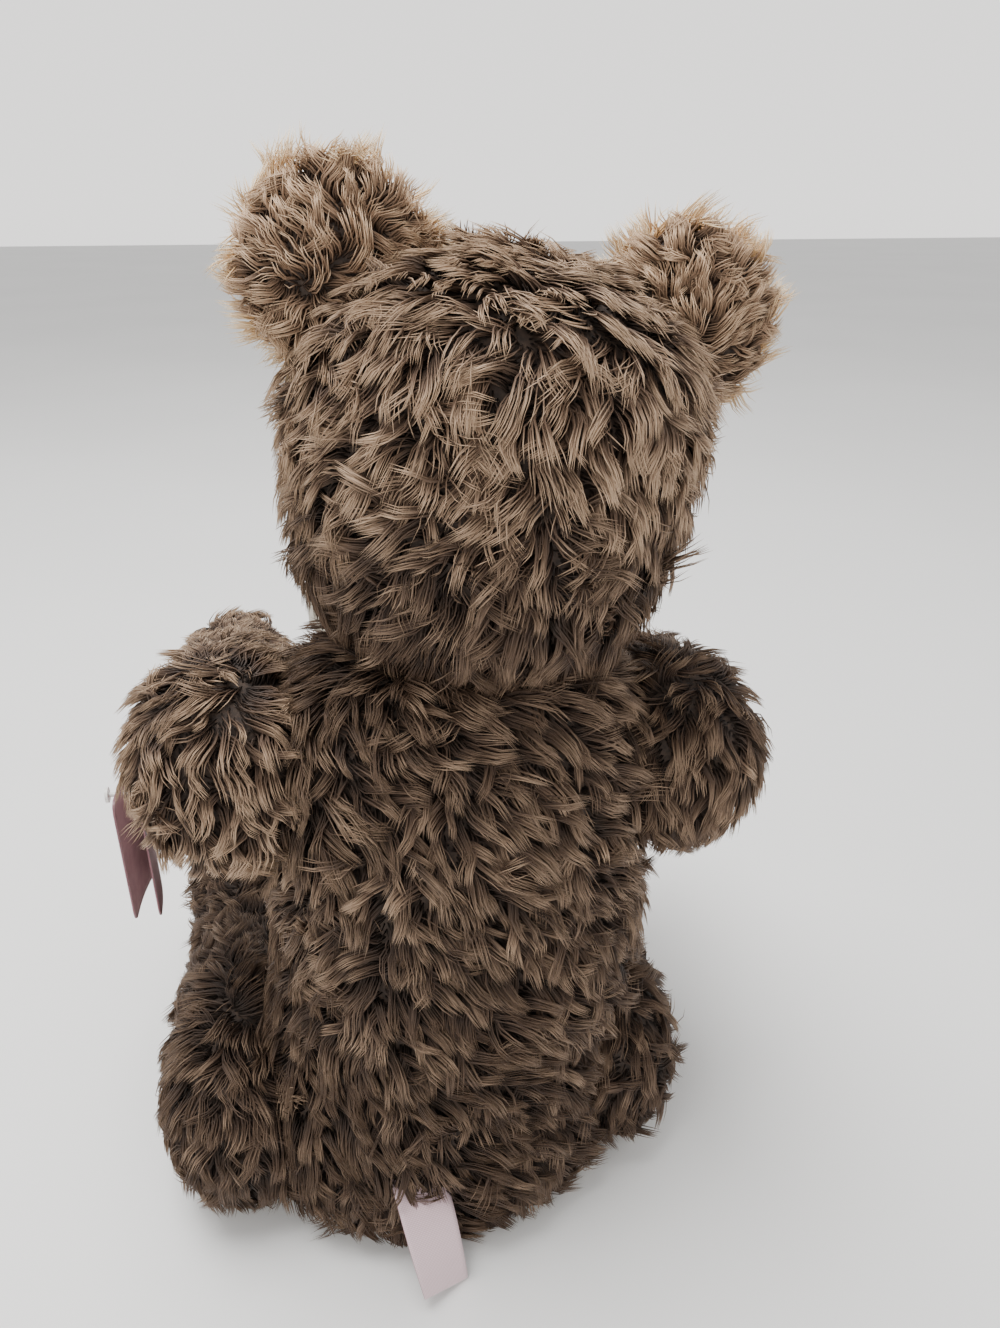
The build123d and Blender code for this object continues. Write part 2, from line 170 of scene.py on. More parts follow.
def woven(name, warp, weft, spacing=0.28 * MM):
    """Satin ribbon: fine crossing threads in the piece's own UV map, which is in metres."""
    mat, tree, shader = material(name, 0.4)
    shader.inputs["Sheen Weight"].default_value = 0.3
    uv = add_node(tree, "ShaderNodeUVMap", uv_map="UVMap")
    heights = []
    for direction in ("X", "Y"):
        bands = 2 * pi / (20 * spacing)
        wave = add_node(tree, "ShaderNodeTexWave", Scale=bands, Distortion=0.6, bands_direction=direction)
        wave.inputs["Detail Scale"].default_value = 2.0
        tree.links.new(uv.outputs["UV"], wave.inputs["Vector"])
        heights.append(wave.outputs["Fac"])
    both = add_node(tree, "ShaderNodeMath", operation="MULTIPLY")
    tree.links.new(heights[0], both.inputs[0])
    tree.links.new(heights[1], both.inputs[1])
    threads_apart = [(0.0, colour(*warp)), (1.0, colour(*weft))]
    tree.links.new(ramp(tree, threads_apart, both.outputs[0]), shader.inputs["Base Color"])
    relief = add_node(tree, "ShaderNodeBump", Strength=0.35, Distance=0.08 * MM)
    tree.links.new(both.outputs[0], relief.inputs["Height"])
    tree.links.new(relief.outputs["Normal"], shader.inputs["Normal"])
    return mat


brown_pile = pile_material("brown_pile", (22, 15, 11), (62, 46, 35), (101, 79, 62), (222, 190, 158))
# painted light: a lighter copy of the brown pile for the backs of the ears, standing for the light they catch from
# above and in front
lit_brown_pile = pile_material("lit_brown_pile", (48, 34, 26), (92, 71, 55), (140, 112, 88), (226, 194, 160))
gold_pile = pile_material("gold_pile", (150, 108, 66), (206, 165, 116), (232, 203, 162), (246, 230, 204))
cream_pile = pile_material("cream_pile", (140, 104, 70), (196, 160, 118), (222, 192, 152), (238, 216, 184))
brown_backing = mottled("brown_backing", (30, 21, 15), (62, 47, 36), 900)
gold_backing = mottled("gold_backing", (150, 110, 70), (190, 150, 105), 900)
suede = mottled("suede", (150, 118, 88), (178, 146, 112), 700, bump=0.5)
fibreboard = mottled("fibreboard", (110, 78, 50), (150, 112, 76), 500)
zinc = mottled("zinc_steel", (160, 163, 168), (196, 198, 202), 300, roughness=0.35, Metallic=1.0)
fibrefill = mottled("fibrefill", (222, 222, 218), (245, 245, 242), 400, bump=0.8)
white_plastic = mottled("white_plastic", (225, 225, 220), (238, 238, 234), 200, roughness=0.4)
nylon = mottled("clear_nylon", (215, 214, 208), (232, 231, 226), 300, roughness=0.3)
thread = mottled("black_thread", (14, 11, 10), (38, 31, 27), 2500, bump=0.6, roughness=0.5)
brown_thread = mottled("brown_thread", (74, 50, 34), (112, 80, 56), 2500, bump=0.6, roughness=0.5)
ribbon_satin = woven("ribbon_satin", (200, 192, 174), (238, 233, 220))
label_satin = woven("label_satin", (190, 160, 166), (232, 212, 216), 0.4 * MM)
label_inside = woven("label_inside", (96, 30, 46), (140, 58, 76), 0.4 * MM)
card_outside = mottled("card_outside", (110, 66, 74), (132, 86, 92), 120, (0.35, 0.65), bump=0.05,
                       roughness=0.35)
card_inside = mottled("card_inside", (164, 132, 136), (184, 154, 156), 300, bump=0.05, roughness=0.5)


# Mesh helpers


def mesh_piece(name, points, faces, body, mats):
    """New object from points and faces that rides on a body."""
    mesh = bpy.data.meshes.new(name)
    mesh.from_pydata([tuple(p) for p in points], [], [tuple(f) for f in faces])
    mesh.validate()
    mesh.update()
    for mat in mats:
        mesh.materials.append(mat)
    mesh.polygons.foreach_set("use_smooth", [True] * len(mesh.polygons))
    piece = bpy.data.objects.new(name, mesh)
    bpy.context.scene.collection.objects.link(piece)
    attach(piece, body)
    return piece


def tree_of(piece):
    """Ray-casting tree over an object's mesh."""
    mesh = piece.data
    return BVHTree.FromPolygons([v.co for v in mesh.vertices], [p.vertices for p in mesh.polygons])


def closed_grid(rows, around):
    """Faces of a tube of rows with a pole point at each end; the poles come last."""
    faces = []
    for row in range(rows - 1):
        for i in range(around):
            j = (i + 1) % around
            faces.append((row * around + i, row * around + j, (row + 1) * around + j, (row + 1) * around + i))
    start, end = rows * around, rows * around + 1
    last = (rows - 1) * around
    for i in range(around):
        j = (i + 1) % around
        faces.append((start, j, i))
        faces.append((end, last + i, last + j))
    return faces


def disc_rows(rings):
    """Rows of a closed disc, as (share of the radius, on the face): out over the face, then back under it."""
    face = [(r / rings, True) for r in range(1, rings + 1)]
    return face + [(r / rings, False) for r in range(rings - 1, 0, -1)]


def skin(name, node, start, end, body, mat, rows=40, around=56, cap_rows=12, hole=None):
    """Closed skin over a cover: rays from outside towards the line from start to end find its surface."""
    start, end = np.array(start), np.array(end)
    along = unit(end - start)
    side = unit(np.cross(along, [0.13, 0.21, 0.97] if abs(along[2]) < 0.7 else [0.0, 1.0, 0.0]))
    other = np.cross(along, side)
    low_cap = np.linspace(-pi / 2, 0, cap_rows, endpoint=False)[1:]
    high_cap = np.linspace(0, pi / 2, cap_rows, endpoint=False)[1:]
    tilt = np.concatenate([low_cap, np.zeros(rows), high_cap])
    place = np.concatenate([np.zeros(cap_rows - 1), np.linspace(0, 1, rows), np.ones(cap_rows - 1)])
    tree = tree_of(frame["nodes"][node])
    turn = np.linspace(0, 2 * pi, around, endpoint=False)
    origins = start + place[:, None, None] * (end - start) + np.zeros((1, around, 1))
    flat = np.cos(turn)[None, :, None] * side + np.sin(turn)[None, :, None] * other
    outward = np.cos(tilt)[:, None, None] * flat + np.sin(tilt)[:, None, None] * along
    distance = np.full(outward.shape[:2], np.nan)
    reach = 0.3  # farther out than any cover
    for r in range(outward.shape[0]):
        for a in range(around):
            far = Vector(origins[r, a] + outward[r, a] * reach)
            hit = tree.ray_cast(far, Vector(-outward[r, a]), reach)
            if hit[0] is not None and not (hole is not None and hole(np.array(hit[0]))):
                distance[r, a] = reach - hit[3]
    distance = fill_gaps(distance)
    distance = 0.5 * distance + 0.125 * neighbours(distance)
    grid = origins + outward * distance[:, :, None]
    poles = [start - along * distance[0].mean(), end + along * distance[-1].mean()]
    points = np.vstack([grid.reshape(-1, 3), poles])
    points[:, 2] = np.maximum(points[:, 2], 0.0)
    return mesh_piece(name, points, closed_grid(len(place), around), body, [mat])


def neighbours(values):
    """Sum of the four values round each one; the rows end and the columns go round."""
    rows = np.vstack([values[:1], values, values[-1:]])
    return rows[:-2] + rows[2:] + np.roll(values, 1, 1) + np.roll(values, -1, 1)


def fill_gaps(values):
    """Missing distances, filled in from the ones around them."""
    missing = np.isnan(values)
    filled = np.where(missing, np.nanmean(values), values)
    for _ in range(200 if missing.any() else 0):
        filled = np.where(missing, neighbours(filled) / 4, filled)
    return filled


# Pile


def waves(points, wavelength, seed, count=5):
    """Smooth random vector field: a few sine waves in random directions."""
    rng = np.random.default_rng(seed)
    total = np.zeros_like(points)
    for _ in range(count):
        direction = unit(rng.normal(size=3)) * 2 * pi / (wavelength * rng.uniform(0.6, 1.5))
        total += np.sin(points @ direction + rng.uniform(0, 2 * pi))[:, None] * rng.normal(size=3)
    return total / np.sqrt(count)


def sample(piece, density, rng):
    """Random points spread evenly over a mesh, with their smooth normals."""
    mesh = piece.data
    mesh.calc_loop_triangles()
    corners = np.zeros(len(mesh.loop_triangles) * 3, np.int64)
    mesh.loop_triangles.foreach_get("vertices", corners)
    corners = corners.reshape(-1, 3)
    places, normals = np.zeros(len(mesh.vertices) * 3), np.zeros(len(mesh.vertices) * 3)
    mesh.vertices.foreach_get("co", places)
    mesh.vertices.foreach_get("normal", normals)
    places, normals = places.reshape(-1, 3), normals.reshape(-1, 3)
    a, b, c = (places[corners[:, i]] for i in range(3))
    areas = np.linalg.norm(np.cross(b - a, c - a), axis=1) / 2
    total = int(areas.sum() * DENSITY * density)
    chosen = rng.choice(len(areas), total, p=areas / areas.sum())
    first, second = np.sqrt(rng.random(total)), rng.random(total)
    weights = np.stack([1 - first, first * (1 - second), first * second], 1)
    points = sum(weights[:, i, None] * places[corners[chosen, i]] for i in range(3))
    facing = unit(sum(weights[:, i, None] * normals[corners[chosen, i]] for i in range(3)))
    return points, facing


def painted_light_by_height(points):
    """Painted light and shade by height: the pile is painted lighter upwards, as if lit from above, and painted in
    shade at the seat and in the neck's fold.
    """
    heights = np.array([0, 60, 125, 148, 163, 184, 206, 250]) * MM
    return np.interp(points[:, 2], heights, (-0.05, 0.12, 0.4, 0.24, -0.1, 0.08, 0.78, 1.05))


STEPS = np.array([0.0, 0.26, 0.52, 0.78, 1.0])
TAPER = np.array([1.0, 1.0, 0.9, 0.6])


def grow(name, piece, body, mat, slot, comb, length, seed, keep, density=1.0, lift=0.62, radius=STRAND,
         lock=3.6 * MM, gather=0.62, wander=0.5, curl=0.9 * MM, tone=0.0, rising=1.0,
         sort_axis=(0, 0, 1), floor=True):
    """Pile on a skin: tapered three-sided strands, gathered into locks that lie along comb(points).

    lock is the width of a lock and gather how far its strands close up. rising is how much of the painted light
    and shade by height goes into the pile's tone. The strands are split into pieces in order along sort_axis.
    """
    rng = np.random.default_rng(seed)
    roots, facing = sample(piece, density, rng)
    wanted = keep(roots, facing)
    roots, facing = roots[wanted], facing[wanted]
    count = len(roots)
    coarse, fine = waves(roots, 16 * MM, seed + 1), waves(roots, 6 * MM, seed + 2)
    lie = comb(roots) + wander * coarse + 0.35 * wander * fine
    lie = unit(lie - (lie * facing).sum(1, keepdims=True) * facing)

    per_lock = max(3.0, DENSITY * density * lock**2)
    leaders = rng.choice(count, max(1, int(count / per_lock)), replace=False)
    nearest = KDTree(len(leaders))
    for i, leader in enumerate(leaders):
        nearest.insert(Vector(roots[leader]), i)
    nearest.balance()
    member = np.array([leaders[nearest.find(Vector(p))[1]] for p in roots])

    lock_rng = np.random.default_rng(seed + 3)
    lock_length = lock_rng.uniform(0.78, 1.18, count)[member]
    lock_lift = lock_rng.uniform(0.6, 1.35, count)[member] * lift
    lock_turn = (lock_rng.normal(size=(count, 3)) * 0.4)[member]
    lock_phase = lock_rng.uniform(0, 2 * pi, count)[member]
    lock_tone = lock_rng.normal(0, 0.17, count)[member]
    long = length * lock_length * rng.uniform(0.82, 1.1, count)
    lie = lie + lock_turn - (lock_turn * facing).sum(1, keepdims=True) * facing
    lie = unit(lie + rng.normal(0, 0.1, (count, 3)))

    t = STEPS[None, :, None]
    rise = (facing * lock_lift[:, None])[:, None, :] * (t - 0.42 * t**2)
    run = lie[:, None, :] * (0.45 * t + 0.55 * t**2)
    path = rise + run
    scale = long / np.linalg.norm(path[:, -1], axis=1)
    path = roots[:, None, :] + path * scale[:, None, None]
    across = unit(np.cross(lie, facing))[:, None, :]
    wave = np.sin(lock_phase[:, None] + 5.2 * STEPS[None, :]) - np.sin(lock_phase)[:, None]
    bob = np.cos(1.7 * lock_phase[:, None] + 4.6 * STEPS[None, :]) - np.cos(1.7 * lock_phase)[:, None]
    path = path + across * (curl * wave)[:, :, None]
    path = path + facing[:, None, :] * (0.45 * curl * bob)[:, :, None] * t
    path = path + (path[member] - path) * (gather * t**0.85)
    if floor:
        path[:, :, 2] = np.maximum(path[:, :, 2], FLOOR_CLEARANCE + 0.3 * radius * rng.random((count, 1)))

    # painted light and shade by height goes into each strand's tone here, weighted by rising
    shade = np.clip(tone + painted_light_by_height(roots) * rising + lock_tone + rng.normal(0, 0.12, count), 0.02, 0.98)
    order = np.argsort(roots @ np.array(sort_axis, float))
    parts = max(1, int(np.ceil(count / STRANDS_PER_PIECE)))
    for part, chosen in enumerate(np.array_split(order, parts)):
        label = name if parts == 1 else f"{name}_{part + 1}"
        strands(label, path[chosen], across[chosen, 0], radius, shade[chosen], body, mat)


def strands(name, path, across, radius, shade, body, mat):
    """One mesh of closed three-sided strands along the given paths."""
    count = len(path)
    tangent = unit(np.gradient(path, axis=1))
    side = unit(across[:, None, :] - (across[:, None, :] * tangent).sum(2, keepdims=True) * tangent)
    other = np.cross(tangent, side)
    rings = len(TAPER)
    angles = np.array([0.0, 2 * pi / 3, 4 * pi / 3])
    points = np.zeros((count, rings * 3 + 1, 3))
    for r in range(rings):
        for k, angle in enumerate(angles):
            offset = side[:, r] * np.cos(angle) + other[:, r] * np.sin(angle)
            points[:, r * 3 + k] = path[:, r] + offset * radius * TAPER[r]
    points[:, -1] = path[:, -1]
    points[:, :, 2] = np.maximum(points[:, :, 2], 0.1 * MM)
    triangles = [(0, 2, 1)]
    for r in range(rings - 1):
        for k in range(3):
            j = (k + 1) % 3
            a, b, c, d = r * 3 + k, r * 3 + j, (r + 1) * 3 + j, (r + 1) * 3 + k
            triangles += [(a, b, c), (a, c, d)]
    tip, last = rings * 3, (rings - 1) * 3
    triangles += [(last, last + 1, tip), (last + 1, last + 2, tip), (last + 2, last, tip)]
    pattern = np.array(triangles)
    per_strand = points.shape[1]
    faces = (pattern[None] + (np.arange(count) * per_strand)[:, None, None]).reshape(-1, 3)

    mesh = bpy.data.meshes.new(name)
    mesh.vertices.add(count * per_strand)
    mesh.vertices.foreach_set("co", points.astype(np.float32).ravel())
    mesh.loops.add(faces.size)
    mesh.loops.foreach_set("vertex_index", faces.astype(np.int32).ravel())
    mesh.polygons.add(len(faces))
    mesh.polygons.foreach_set("loop_start", np.arange(0, faces.size, 3, dtype=np.int32))
    mesh.polygons.foreach_set("use_smooth", np.ones(len(faces), bool))
    u = np.tile(0.02 + 0.96 * shade[:, None], (1, per_strand))
    u[:, :-1] += np.tile([-0.006, 0.0, 0.006], rings)[None]
    v = np.tile(np.append(np.repeat(STEPS[:rings], 3), 1.0), (count, 1))
    uv = np.stack([u, np.clip(v, 0.01, 0.99)], 2).reshape(-1, 2)[faces.ravel()]
    layer = mesh.uv_layers.new(name=PILE_UV)
    layer.data.foreach_set("uv", uv.astype(np.float32).ravel())
    mesh.update()
    mesh.materials.append(mat)
    piece = bpy.data.objects.new(name, mesh)
    bpy.context.scene.collection.objects.link(piece)
    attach(piece, body)


# Torso

torso_low = np.array([0.0, 0.0, 0.034])
torso_high = neck_at - body_up * 22 * MM
torso_skin = skin("torso_skin", "torso_cover", torso_low, torso_high, "torso", brown_backing,
                  rows=50, around=72)
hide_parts("torso_cover")


def torso_keep(points, _facing):
    """Not under the seat, in the neck joint or behind the bow's knot."""
    seat = points[:, 2] < 0.8 * MM
    neck_joint = (points - neck_at) @ head_up > -0.6 * MM
    stretch = [0.8, 0.5, 1.2]
    bow = np.linalg.norm((points - centre_of("ribbon_bow")) * stretch, axis=1) < 9 * MM
    return ~(seat | neck_joint | bow)


def torso_comb(points):
    """Down the bear's left side, sweeping across to its right over the rest of the back."""
    right = np.clip((20 * MM - points[:, 0]) / (45 * MM), 0, 1)[:, None]
    behind = np.clip(points[:, 1] / (20 * MM), -1, 1)[:, None]
    return DOWN - right * np.array([0.9, 0.0, 0.0]) * (0.5 + 0.5 * behind)


grow("torso_pile", torso_skin, "torso", brown_pile, "brown_plush", torso_comb, TORSO_PILE, 11, torso_keep)

# Head

head_low = neck_at + head_up * 30 * MM
head_high = neck_at + head_up * 55 * MM
muzzle_low, muzzle_high = (np.array(c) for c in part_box("muzzle_cover"))


def in_muzzle(point):
    """True where the head's cover opens into the muzzle."""
    middle = (muzzle_low + muzzle_high) / 2
    across = (point - middle) @ head_across
    up = (point - middle) @ head_up
    return point[1] < middle[1] + 14 * MM and across**2 + up**2 < (20 * MM) ** 2


head_skin = skin("head_skin", "head_cover", head_low, head_high, "head", brown_backing,
                 rows=16, around=72, cap_rows=20, hole=in_muzzle)
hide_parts("head_cover")
face_at = centre_of("muzzle_cover")


def head_comb(points):
    """Up and back from the brow, down the nape, and away from the muzzle on the face."""
    away = points - neck_at
    from_brow = points - (neck_at + head_up * 68 * MM + FORWARD * 33 * MM)
    from_face = points - face_at
    near_face = np.clip(1.4 - np.linalg.norm(from_face, axis=1) / (45 * MM), 0, 1)[:, None]
    to_left = np.clip(0.3 + away @ head_across / (30 * MM), 0, 1)[:, None]
    nape = np.clip(1.2 - away @ head_up / (20 * MM), 0, 1) * np.clip(away[:, 1] / (12 * MM), 0, 1)
    flow = unit(from_brow) * 0.5 + DOWN * 0.7 + to_left * head_across * 0.8 + near_face * unit(from_face) * 1.6
    return flow * (1 - 0.7 * nape[:, None]) - nape[:, None] * head_up * 1.6


def head_keep(points, _facing):
    """Not round the eyes, behind the muzzle or in the neck joint."""
    near_eye = np.zeros(len(points), bool)
    for side_name, _ in SIDES:
        over_eye = centre_of(f"{side_name}_eye") + head_up * 1.5 * MM
        near_eye |= np.linalg.norm(points - over_eye, axis=1) < 8.6 * MM
    under_muzzle = np.array([in_muzzle(p) for p in points])
    bottom = (points - neck_at) @ head_up < 0.8 * MM
    return ~near_eye & ~under_muzzle & ~bottom


grow("head_pile", head_skin, "head", brown_pile, "brown_plush", head_comb, HEAD_PILE, 31, head_keep,
     gather=0.54, tone=0.04)

muzzle_back = centre_of("muzzle_cover")
muzzle_back[1] = muzzle_high[1] - 3 * MM
muzzle_tip = centre_of("muzzle_cover")
muzzle_tip[1] = muzzle_low[1] + 12 * MM
muzzle_skin = skin("muzzle_skin", "muzzle_cover", muzzle_back, muzzle_tip, "head", gold_backing,
                   rows=16, around=48)
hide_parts("muzzle_cover")
nose_at = centre_of("nose")

SMILE_UP = -10 * MM  # middle of the mouth, from the nose
SMILE_HALF = 6.4 * MM
SMILE_DIP = 3.4 * MM


def smile_height(across):
    """Height of the mouth's line at a distance from its middle."""
    return SMILE_UP - SMILE_DIP * np.sin(0.6 * pi * np.minimum(across / SMILE_HALF, 1))


def muzzle_comb(points):
    """Back from the nose and a little down."""
    return np.tile(0.25 * DOWN - FORWARD, (len(points), 1))


def muzzle_keep(points, _facing):
    """Not under the stitched nose and mouth."""
    away = points - nose_at
    across, up = np.abs(away @ head_across), away @ head_up
    on_nose = (across / (7.5 * MM)) ** 2 + (up / (5.2 * MM)) ** 2 < 1.0
    on_lip = (across < 1.0 * MM) & (up < 0) & (up > SMILE_UP)
    on_smile = (np.abs(up - smile_height(across)) < 1.1 * MM) & (across < SMILE_HALF + 0.5 * MM)
    front = points[:, 1] < nose_at[1] + 14 * MM
    return ~(on_nose | (front & (on_lip | on_smile)))


grow("muzzle_pile", muzzle_skin, "head", cream_pile, "golden_plush", muzzle_comb, MUZZLE_PILE, 41, muzzle_keep,
     density=2.2, lift=0.8, radius=0.6 * STRAND, lock=1.8 * MM, curl=0.2 * MM, tone=0.5, rising=0.0,
     wander=0.35)

# Limbs

SOCKET_CLEAR = 1.2 * MM  # how far out from a joint's plane the pile starts
ARM_PAINTED_LIGHT = {"left": 0.5, "right": -0.08}  # painted light and shade: the left arm is painted lighter, as if lit, and the right arm darker, as if in shade
for number, (side_name, side) in enumerate(SIDES):
    shoulder_at = np.array(joint[f"{side_name}_shoulder"]["pos_m"])
    hip_at = np.array(joint[f"{side_name}_hip"]["pos_m"])
    paw_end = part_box(f"{side_name}_arm_cover")[0][1]
    foot_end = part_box(f"{side_name}_leg_cover")[0][1]

    arm = f"{side_name}_arm"
    arm_start = shoulder_at + body_across * side * 17 * MM
    paw_at = centre_of(f"{side_name}_paw_pad")
    arm_end = paw_at + np.array([0, 0, 14 * MM])
    arm_end[1] = paw_end + 13 * MM
    arm_skin = skin(f"{arm}_skin", f"{arm}_cover", arm_start, arm_end, arm, brown_backing)
    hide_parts(f"{arm}_cover")
    arm_along = unit(arm_end - arm_start)

    def arm_keep(points, facing, paw_at=paw_at, shoulder_at=shoulder_at, side=side):
        """Not on the paw pad or in the shoulder joint."""
        near_pad = np.linalg.norm((points - paw_at) * [1.3, 1.0, 1.0], axis=1) < 12 * MM
        away = points - shoulder_at
        in_joint = (away @ body_across * side < SOCKET_CLEAR) & (np.hypot(away[:, 1], away @ body_up) < 35 * MM)
        return ~(near_pad & (facing[:, 2] < -0.5)) & ~in_joint

    def arm_comb(points, start=arm_start, along=arm_along):
        """Down at the back of the shoulder, turning towards the paw."""
        forward = np.clip(((points - start) @ along) / (25 * MM), 0, 1)[:, None]
        return DOWN * (1 - 0.35 * forward) + along * 0.9 * forward

    grow(f"{arm}_pile", arm_skin, arm, brown_pile, "brown_plush", arm_comb, LIMB_PILE, 51 + number, arm_keep,
         lift=0.5, sort_axis=(0, 1, 0), tone=ARM_PAINTED_LIGHT[side_name])

    leg = f"{side_name}_leg"
    leg_start = hip_at + np.array([side * 15 * MM, 0, 0])
    leg_end = np.array([centre_of(f"{side_name}_foot_pad")[0], foot_end + 18 * MM, hip_at[2]])
    leg_skin = skin(f"{leg}_skin", f"{leg}_cover", leg_start, leg_end, leg, brown_backing)
    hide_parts(f"{leg}_cover")

    def leg_keep(points, _facing, hip_at=hip_at, foot_end=foot_end, side=side):
        """Not on the sole, in the hip joint or under the leg."""
        sole = points[:, 1] < foot_end + 1.5 * MM
        away = points - hip_at
        in_joint = (away[:, 0] * side < SOCKET_CLEAR) & (np.hypot(away[:, 1], away[:, 2]) < 34 * MM)
        under = points[:, 2] < 0.6 * MM
        return ~sole & ~in_joint & ~under

    def leg_comb(points, start=leg_start):
        """Down at the hip, turning towards the foot."""
        forward = np.clip((start[1] - points[:, 1]) / (25 * MM), 0, 1)[:, None]
        return DOWN * (1 - 0.4 * forward) + FORWARD * 0.7 * forward

    grow(f"{leg}_pile", leg_skin, leg, brown_pile, "brown_plush", leg_comb, LIMB_PILE, 61 + number, leg_keep,
         lift=0.45, sort_axis=(0, 1, 0))

# Ears


EAR_RADIUS = 18 * MM
EAR_DEPTH = 4.2 * MM
EAR_CUP = 2.5 * MM  # how far back the ear's middle sits
EAR_OUT = 37 * MM  # from the neck to the middle of an ear
EAR_UP = 79 * MM


def ear_panel(name, centre, dish, facing, mat):
    """Closed ear panel: a domed disc, hollowed by dish, on one side of the ear's mid plane."""
    rings, around = 14, 48
    rows = disc_rows(rings)
    points = []
    for rho, outside in rows:
        height = EAR_DEPTH * np.sqrt(1 - rho**4) - dish * (1 - rho**2) if outside else 0.0
        cup = EAR_CUP * (1 - rho**2)
        for turn in np.linspace(0, 2 * pi, around, endpoint=False):
            at = centre + EAR_RADIUS * rho * (np.cos(turn) * head_across + np.sin(turn) * head_up)
            points.append(at - FORWARD * (facing * height + cup))
    points.append(centre - FORWARD * (facing * (EAR_DEPTH - dish) + EAR_CUP))
    points.append(centre - FORWARD * EAR_CUP)
    piece = mesh_piece(name, points, closed_grid(len(rows), around), "head", [mat])
    if facing < 0:
        piece.data.flip_normals()
    return piece


# The backs of the ears take the brown pile lightened with painted light; their fronts are the golden plush.
EAR_PANELS = (
    ("back", 1, 0.0, brown_backing, "brown_plush", dict(mat=lit_brown_pile, length=EAR_BACK_PILE, seed=71)),
    ("front", -1, 2.2 * MM, gold_backing, "golden_plush",
     dict(mat=gold_pile, length=EAR_FRONT_PILE, seed=81, tone=0.6, rising=0.0)),
)
for number, (side_name, side) in enumerate(SIDES):
    ear_at = neck_at + head_across * side * EAR_OUT + head_up * EAR_UP
    for panel, facing, dish, backing, slot, pile in EAR_PANELS:
        ear = ear_panel(f"{side_name}_ear_{panel}_skin", ear_at, dish, facing, backing)
        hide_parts(f"{side_name}_ear_{panel}")

        def ear_comb(points, centre=ear_at):
            """Outwards from the middle, and a little up."""
            return unit(points - centre + head_up * 4 * MM)

        def ear_keep(points, out, facing=facing):
            """On the panel's own face, where it stands clear of the head."""
            outer = (out @ -FORWARD) * facing > -0.3
            from_head = (points - (neck_at + head_up * 44 * MM)) * [1, 1.05, 1]
            return outer & (np.linalg.norm(from_head, axis=1) >= 38 * MM)

        own = {**pile, "seed": pile["seed"] + number}
        grow(f"{side_name}_ear_{panel}_pile", ear, "head", slot=slot, comb=ear_comb, keep=ear_keep, density=1.8,
             lift=0.55, lock=2.6 * MM, gather=0.42, floor=False, **own)

# Threads, pads and ribbon


def threads(name, paths, radius, body, mat):
    """One mesh of round threads with blunt ends along the given paths."""
    around = 6
    points, faces = [], []
    turn = np.linspace(0, 2 * pi, around, endpoint=False)[None, :, None]
    for path in paths:
        path = np.asarray(path, float)
        along = unit(np.gradient(path, axis=0))
        side = unit(np.cross(along, [0.31, 0.17, 0.93]))
        other = np.cross(along, side)
        thickness = np.full(len(path), radius)
        thickness[[0, -1]] *= 0.6
        spokes = np.cos(turn) * side[:, None] + np.sin(turn) * other[:, None]
        rings = path[:, None] + spokes * thickness[:, None, None]
        first = len(points)
        points += [*rings.reshape(-1, 3), path[0] - along[0] * radius / 2, path[-1] + along[-1] * radius / 2]
        faces += [tuple(first + i for i in face) for face in closed_grid(len(path), around)]
    return mesh_piece(name, points, faces, body, [mat])


PAD_EDGE = 0.7 * MM
STITCH_APART = 4.8 * MM


def pad_piece(name, seat, half_width, half_height, rise, body, node):
    """Crowned suede pad over an ellipse; seat(across, up) gives the place under it and the way out."""
    rings, around = 14, 64

    def place(rho, angle, front):
        at, out = seat(half_width * rho * np.cos(angle), half_height * rho * np.sin(angle))
        height = PAD_EDGE + rise * (1 - rho**2.6) ** 0.8 if front else -0.3 * MM
        return at + out * (height * (1.0 if rho < 1 else 0.2))

    def in_plush(angle):
        """Where a whip stitch goes into the plush just outside the pad."""
        at, out = seat(1.07 * half_width * np.cos(angle), 1.07 * half_height * np.sin(angle))
        return at + out * 0.1 * MM

    rows = disc_rows(rings)
    turns = np.linspace(0, -2 * pi, around, endpoint=False)
    points = [place(rho, angle, front) for rho, front in rows for angle in turns]
    points += [place(0.0, 0.0, True), place(0.0, 0.0, False)]
    piece = mesh_piece(name, points, closed_grid(len(rows), around), body, [suede])
    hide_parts(node)
    stitches = []
    for angle in np.linspace(0, 2 * pi, int(5 * (half_width + half_height) / STITCH_APART), endpoint=False):
        slant = angle + 0.05
        on_pad = [place(0.86, slant, True), place(0.93, slant, True), place(0.999, angle, True)]
        stitches.append([*on_pad, in_plush(angle)])
    threads(f"{name}_stitches", stitches, 0.28 * MM, body, brown_thread)


def cast(tree, origin, direction):
    """First surface point and outward normal that a ray meets."""
    place, normal, _, _ = tree.ray_cast(Vector(origin), Vector(direction))
    return np.array(place), np.array(normal)


